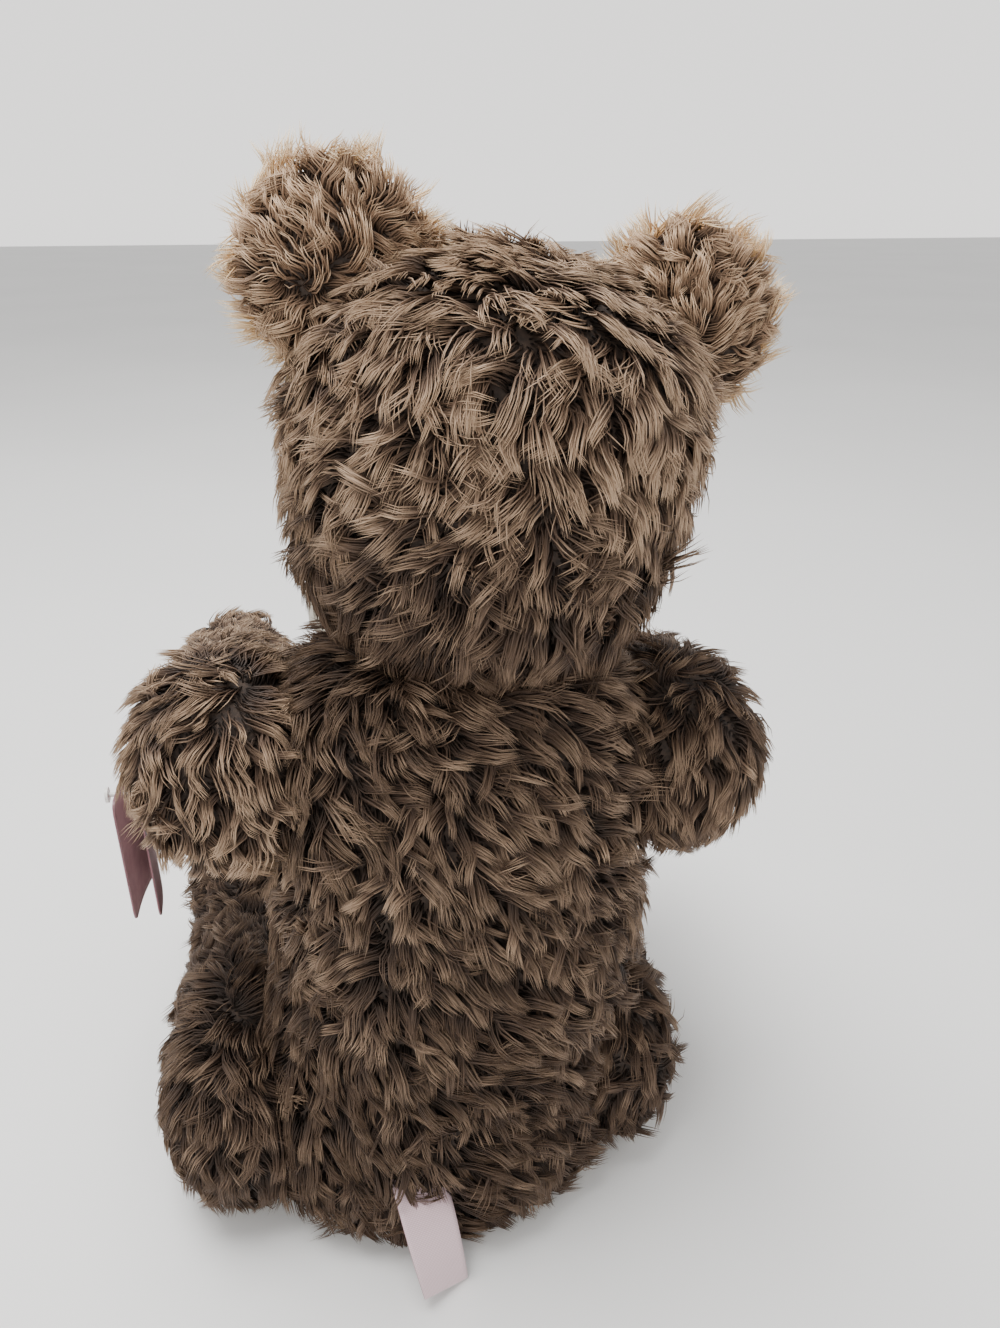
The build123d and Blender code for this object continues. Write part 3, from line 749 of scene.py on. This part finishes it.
def strip(name, path, across, width, body, mats, ripple=None, thickness=0.3 * MM, columns=9, loop=False):
    """Closed strip of cloth or card along a path, with a face on each side and UVs in metres.

    ripple(share, rows) shifts it along its normal, by share of the width. A second material goes on the
    inner face.
    """
    path, across = np.asarray(path, float), unit(np.asarray(across, float))
    rows = len(path)
    width = np.array(np.broadcast_to(width, rows))
    tangent = np.roll(path, -1, 0) - np.roll(path, 1, 0) if loop else np.gradient(path, axis=0)
    normal = unit(np.cross(unit(tangent), across))
    share = np.linspace(-0.5, 0.5, columns)
    shift = ripple(share, rows) if ripple else np.zeros((rows, columns))
    middle = path[:, None] + across[:, None] * (share[None, :, None] * width[:, None, None])
    middle = middle + normal[:, None] * shift[:, :, None]
    offset = normal[:, None] * thickness / 2
    points = np.concatenate([(middle + offset).reshape(-1, 3), (middle - offset).reshape(-1, 3)])
    points[:, 2] = np.maximum(points[:, 2], FLOOR_CLEARANCE)
    size = rows * columns
    outer, inner, rim = [], [], []
    for r in range(rows if loop else rows - 1):
        n = (r + 1) % rows
        for c in range(columns - 1):
            a, b, d, e = r * columns + c, r * columns + c + 1, n * columns + c, n * columns + c + 1
            outer.append((a, d, e, b))
            inner.append((a + size, b + size, e + size, d + size))
        for c in (0, columns - 1):
            a, d = r * columns + c, n * columns + c
            quad = (a, a + size, d + size, d)
            rim.append(quad if c == 0 else quad[::-1])
    for r in () if loop else (0, rows - 1):
        for c in range(columns - 1):
            a, b = r * columns + c, r * columns + c + 1
            quad = (a, b, b + size, a + size)
            rim.append(quad if r == 0 else quad[::-1])
    piece = mesh_piece(name, points, outer + inner + rim, body, mats)
    mesh = piece.data
    kinds = np.array([0] * len(outer) + [len(mats) - 1] * len(inner) + [0] * len(rim))
    mesh.polygons.foreach_set("material_index", kinds)
    mesh.polygons.foreach_set("use_smooth", np.arange(len(kinds)) < len(outer) + len(inner))
    run = np.concatenate([[0], np.cumsum(np.linalg.norm(np.diff(path, axis=0), axis=1))])
    flat = np.stack(np.broadcast_arrays(share[None, :] * width.max(), run[:, None]), 2).reshape(-1, 2)
    corners = np.zeros(len(mesh.loops), np.int64)
    mesh.loops.foreach_get("vertex_index", corners)
    layer = mesh.uv_layers.new(name="UVMap")
    layer.data.foreach_set("uv", flat[corners % size].astype(np.float32).ravel())
    return piece


# Eyes, nose and mouth

EYE_SPAN = 8 * MM


def eye_material(name, front):
    """Glossy eye: black pupil in a dark amber iris, by distance from the front of the dome."""
    mat, tree, shader = material(name, 0.14)
    shader.inputs["Specular IOR Level"].default_value = 0.35
    place = add_node(tree, "ShaderNodeTexCoord").outputs["Object"]
    away = add_node(tree, "ShaderNodeVectorMath", operation="DISTANCE")
    tree.links.new(place, away.inputs[0])
    away.inputs[1].default_value = front
    share = add_node(tree, "ShaderNodeMapRange")
    share.inputs["From Max"].default_value = EYE_SPAN
    tree.links.new(away.outputs["Value"], share.inputs["Value"])
    pupil = [(0.0, colour(6, 4, 3)), (0.38, colour(8, 5, 4))]
    iris = [(0.44, colour(66, 30, 10)), (0.62, colour(120, 62, 20)), (0.8, colour(52, 26, 12))]
    tree.links.new(ramp(tree, pupil + iris, share.outputs["Result"]), shader.inputs["Base Color"])
    return mat


for side_name, side in SIDES:
    eye = frame["nodes"][f"{side_name}_eye"]
    outward = FORWARD + head_across * side * 0.38
    front = max((v.co for v in eye.data.vertices), key=lambda co: float(np.array(co) @ outward))
    for held in eye.material_slots:
        held.material = eye_material(f"{side_name}_eye", front)

muzzle_tree = tree_of(muzzle_skin)


def face_point(across, up, stand):
    """Place on the muzzle, given across and up from the nose, standing clear of it."""
    origin = nose_at + head_across * across + head_up * up + FORWARD * 30 * MM
    at, out = cast(muzzle_tree, origin, -FORWARD)
    return at + out * stand


NOSE_HALF_WIDTH = 7.2 * MM
NOSE_HALF_HEIGHT = 4.8 * MM
nose_threads = []
for share in np.linspace(-0.97, 0.97, 27):
    half = NOSE_HALF_HEIGHT * (1 - share**2) ** 0.5 * (1.12 - 0.12 * abs(share))
    crown = 0.9 * MM * (1 - share**2)
    satin_stitch = []
    for up in np.linspace(1, -1, 9):
        stand = crown * (1 - 0.7 * up**4) + 0.35 * MM
        satin_stitch.append(face_point(share * NOSE_HALF_WIDTH, up * half, stand))
    nose_threads.append(satin_stitch)
nose_piece = threads("stitched_nose", nose_threads, 0.36 * MM, "head", thread)
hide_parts("nose")

MOUTH_STAND = 1.2 * MM
mouth_threads = []
for strand in (-0.4 * MM, 0.4 * MM):
    lip = np.linspace(-4.4 * MM, SMILE_UP, 8)
    mouth_threads.append([face_point(strand, up, MOUTH_STAND) for up in lip])
    for side in (1, -1):
        smile = np.linspace(0, SMILE_HALF, 12)
        mouth_threads.append([face_point(side * a, smile_height(a) + strand, MOUTH_STAND) for a in smile])
mouth_piece = threads("stitched_mouth", mouth_threads, 0.4 * MM, "head", thread)
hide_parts("mouth_stitch")

# Foot and paw pads

ARM_SLOPE = np.array([0.0, -0.97, -0.24])  # the way the arms point
UNDER_ARM = unit(np.cross([1.0, 0.0, 0.0], ARM_SLOPE))
PAW_HALF_WIDTH = 8.5 * MM
PAW_HALF_HEIGHT = 12.5 * MM
for side_name, _ in SIDES:
    foot_low, foot_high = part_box(f"{side_name}_foot_pad")
    sole = centre_of(f"{side_name}_foot_pad")
    foot_half = np.array(foot_high - foot_low) / 2

    def sole_seat(across, up, sole=sole, back=foot_high[1]):
        return np.array([sole[0] + across, back, sole[2] + up]), FORWARD

    pad_piece(f"{side_name}_foot_suede", sole_seat, foot_half[0], foot_half[2], 2.4 * MM,
              f"{side_name}_leg", f"{side_name}_foot_pad")

    paw_at = centre_of(f"{side_name}_paw_pad")
    arm_tree = tree_of(bpy.data.objects[f"{side_name}_arm_skin"])

    def paw_seat(across, up, paw_at=paw_at, tree=arm_tree):
        origin = paw_at + body_across * across + ARM_SLOPE * up + UNDER_ARM * 40 * MM
        return cast(tree, origin, -UNDER_ARM)

    pad_piece(f"{side_name}_paw_suede", paw_seat, PAW_HALF_WIDTH, PAW_HALF_HEIGHT, 1.6 * MM,
              f"{side_name}_arm", f"{side_name}_paw_pad")

# Neck ribbon and bow

LOOP_REACH = {"left": 36 * MM, "right": 40 * MM}
band_turn = np.linspace(0, 2 * pi, 180, endpoint=False)
band_round = np.cos(band_turn)[:, None] * head_across + np.sin(band_turn)[:, None] * -FORWARD * 0.9
band_radius = 26.6 * MM - 4.4 * MM * np.clip(1.4 * np.sin(band_turn) + 0.3, 0, 1)[:, None]
band_path = neck_at + head_up * 0.4 * MM + band_round * band_radius
band_across = head_up * 0.8 - 0.8 * unit(band_round)


def band_ripple(share, rows):
    """Three soft pleats that wander along the band."""
    along = np.linspace(0, 2 * pi, rows, endpoint=False)[:, None]
    wander = 0.6 * np.sin(3 * along) + 0.5 * np.sin(7 * along + 1)
    return 0.74 * MM * np.sin(6 * pi * share[None, :] + wander) * (0.85 + 0.15 * np.sin(5 * along))


neck_band = strip("ribbon_neck_band", band_path, band_across, 5.4 * MM, "torso", [ribbon_satin],
                  ripple=band_ripple, thickness=0.2 * MM, columns=25, loop=True)
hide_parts("neck_ribbon")

bow_at = neck_at - head_up * 5 * MM
bow_at[1] = centre_of("ribbon_bow")[1]


def loop_ripple(share, rows):
    """Three pleats at both ends of the path, where the knot is, that fade to one soft fold in the middle."""
    near = np.abs(np.linspace(-1, 1, rows))[:, None] ** 1.5
    pleats, fold = np.cos(6 * pi * share[None, :]), 0.35 * np.cos(2 * pi * share[None, :])
    return 0.7 * MM * (near * pleats + (1 - near) * fold)


def tail_ripple(share, rows):
    """Pleats that fade down the tail."""
    return 0.5 * MM * np.cos(5 * pi * share[None, :]) * np.linspace(1, 0.15, rows)[:, None]


def knot_ripple(share, rows):
    """Pleats round the knot, which is drawn in at its edges."""
    return 0.55 * MM * np.cos(7 * pi * share[None, :]) - 3 * MM * share[None, :] ** 2 + np.zeros((rows, 1))


for side_name, side in SIDES:
    reach = LOOP_REACH[side_name]
    t = np.linspace(0.03, 0.97, 60)
    out = reach * np.sin(pi * t) ** 0.85
    depth = 6.4 * MM * np.sin(2 * pi * t) * (0.55 + 0.45 * np.sin(pi * t)) - 1.5 * MM * np.sin(pi * t)
    sag = -4.0 * MM * (out / reach) ** 2 + 2.0 * MM * np.sin(pi * t)
    path = bow_at + np.outer(out * side, head_across) + np.outer(depth, -FORWARD) + np.outer(sag, head_up)
    tilt = head_up + 0.3 * side * head_across + 0.45 * np.outer(np.sin(2 * pi * t), FORWARD)
    share = out / reach
    width = (4.6 + 9.4 * share**0.7 * (1 - 0.34 * share**5)) * MM
    loop_piece = strip(f"ribbon_{side_name}_loop", path, tilt, width, "torso", [ribbon_satin],
                       ripple=loop_ripple, thickness=0.25 * MM, columns=17)

    t = np.linspace(0, 1, 50)
    down = 31 * MM * t
    out = (4 + 15 * t + 1.5 * np.sin(2.4 * pi * t)) * MM
    depth = (-0.5 - 7.5 * t**0.7 - 1.6 * np.sin(2.2 * pi * t)) * MM
    path = bow_at + np.outer(out * side, head_across) - np.outer(down, head_up) + np.outer(depth, -FORWARD)
    tail_across = np.tile(head_across + 0.45 * side * head_up, (len(t), 1))
    width = (4.4 + 7.4 * np.clip(2.5 * t, 0, 1) ** 0.7) * MM * np.clip((1.04 - t) * 22, 0.35, 1)
    tail = strip(f"ribbon_{side_name}_tail", path, tail_across, width, "torso", [ribbon_satin],
                 ripple=tail_ripple, thickness=0.25 * MM, columns=15)

turn = np.linspace(0, 2 * pi, 48, endpoint=False)
knot_path = bow_at + np.outer(np.cos(turn) * 4.4 * MM, head_up) + np.outer(np.sin(turn) * 4.0 * MM, FORWARD)
knot = strip("ribbon_knot", knot_path, np.tile(head_across, (len(turn), 1)), 8.6 * MM, "torso", [ribbon_satin],
             ripple=knot_ripple, thickness=0.3 * MM, columns=25, loop=True)
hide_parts("ribbon_bow")

# Sewn label

LABEL = 14.5 * MM  # width
label_low, label_high = (np.array(c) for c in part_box("sewn_label"))
label_mid = (label_low[0] + label_high[0]) / 2
label_root = np.array([label_mid + 2 * MM, 31 * MM, 27 * MM])  # in the seam
label_tip = np.array([label_mid - 3 * MM, label_high[1] + 1 * MM, 2.2 * MM])
run = label_tip - label_root
t = np.linspace(0.0, 1.0, 70)
far = (1 - np.cos(2 * pi * t)) / 2
apart = 2.4 * MM * np.sin(2 * pi * t) * (0.4 + 0.6 * far)
bend = 4.5 * MM * np.sin(pi * far)
label_out = unit(np.cross(run, [1.0, 0.0, 0.0]))
label_out = label_out if label_out[1] > 0 else -label_out
path = label_root + np.outer(far, run) + np.outer(apart + bend, label_out)
twist = radians(8) + radians(26) * far
label_across = np.outer(np.cos(twist), [1.0, 0.0, 0.0]) + np.outer(np.sin(twist), label_out)
label = strip("satin_label", path, label_across, LABEL, "torso", [label_inside, label_satin],
              thickness=0.25 * MM, columns=13)
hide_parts("sewn_label")

# Swing tag

TAG_CORNER = 3 * MM  # radius
tag_low, tag_high = (np.array(c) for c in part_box("swing_tag"))
tag_mid = (tag_low + tag_high) / 2
t = np.linspace(-1, 1, 81)
leaf = tag_high[1] - tag_low[1] - 0.5 * MM
tag_y = tag_low[1] + 0.4 * MM + leaf * (np.sqrt(t**2 + 0.0006) - 0.0245)
tag_x = tag_mid[0] + t * 3.4 * MM + 0.9 * MM * np.sin(pi * t)
path = np.stack([tag_x, tag_y, np.full_like(t, tag_mid[2])], 1)
corner = np.clip((1 - np.abs(t)) * leaf, 0, TAG_CORNER)
rounding = TAG_CORNER - np.sqrt(np.maximum(TAG_CORNER**2 - (TAG_CORNER - corner) ** 2, 0))
tag_width = (tag_high[2] - tag_low[2]) - 2 * rounding
card = strip("card_leaflet", path, np.tile([0.0, 0.0, 1.0], (len(t), 1)), tag_width, "swing_tag",
             [card_outside, card_inside], thickness=0.45 * MM, columns=21)
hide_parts("swing_tag")

# Finishes of the CAD pieces that stay

FINISHES = {
    "stuffing": fibrefill,
    "fibreboard": fibreboard,
    "zinc_steel": zinc,
    "white_plastic": white_plastic,
    "clear_nylon": nylon,
}
for subpart in frame["record"]["subparts"]:
    if subpart["material_slot"] in FINISHES:
        for held in frame["nodes"][subpart["node"]].material_slots:
            held.material = FINISHES[subpart["material_slot"]]

# Floor, light and camera

floor = mottled("studio_floor", (235, 234, 232), (240, 239, 237), 3, bump=0.0, roughness=0.55)
bpy.ops.mesh.primitive_plane_add(size=12)
ground = bpy.context.object
ground.name = "floor"
ground.data.materials.append(floor)

world = bpy.data.worlds.new("studio")
world.use_nodes = True
sky = world.node_tree
height = add_node(sky, "ShaderNodeSeparateXYZ")
sky.links.new(add_node(sky, "ShaderNodeTexCoord").outputs["Generated"], height.inputs["Vector"])
around = add_node(sky, "ShaderNodeMath", operation="ABSOLUTE")
sky.links.new(height.outputs["Z"], around.inputs[0])
horizon = [(0.0, colour(245, 243, 241)), (0.24, colour(238, 236, 234))]
overhead = [(0.42, colour(172, 172, 172)), (1.0, colour(160, 160, 161))]
sky.links.new(ramp(sky, horizon + overhead, around.outputs[0]), sky.nodes["Background"].inputs["Color"])
sky.nodes["Background"].inputs["Strength"].default_value = 1.9
bpy.context.scene.world = world


def softbox(name, place, size, power, tint=(1.0, 1.0, 1.0)):
    """Large soft light aimed at the bear's middle."""
    light = bpy.data.lights.new(name, "AREA")
    light.shape = "DISK"
    light.size = size
    light.energy = power
    light.color = tint
    lamp = bpy.data.objects.new(name, light)
    lamp.location = place
    lamp.rotation_mode = "QUATERNION"
    lamp.rotation_quaternion = (Vector((0, 0, 0.12)) - Vector(place)).to_track_quat("-Z", "Y")
    bpy.context.scene.collection.objects.link(lamp)


softbox("overhead", (0.2, -0.12, 1.2), 0.8, 22)
softbox("behind_camera", (0.6, 1.1, 0.9), 0.8, 6, (1.0, 0.98, 0.95))

camera_data = bpy.data.cameras.new("camera")
camera_data.sensor_width = 36
camera_data.lens = 26.35
camera = bpy.data.objects.new("camera", camera_data)
camera.location = (0.022, 0.205, 0.255)
camera.rotation_mode = "QUATERNION"
camera.rotation_quaternion = Vector((-0.188, -0.881, -0.435)).to_track_quat("-Z", "Y")
bpy.context.scene.collection.objects.link(camera)
bpy.context.scene.camera = camera
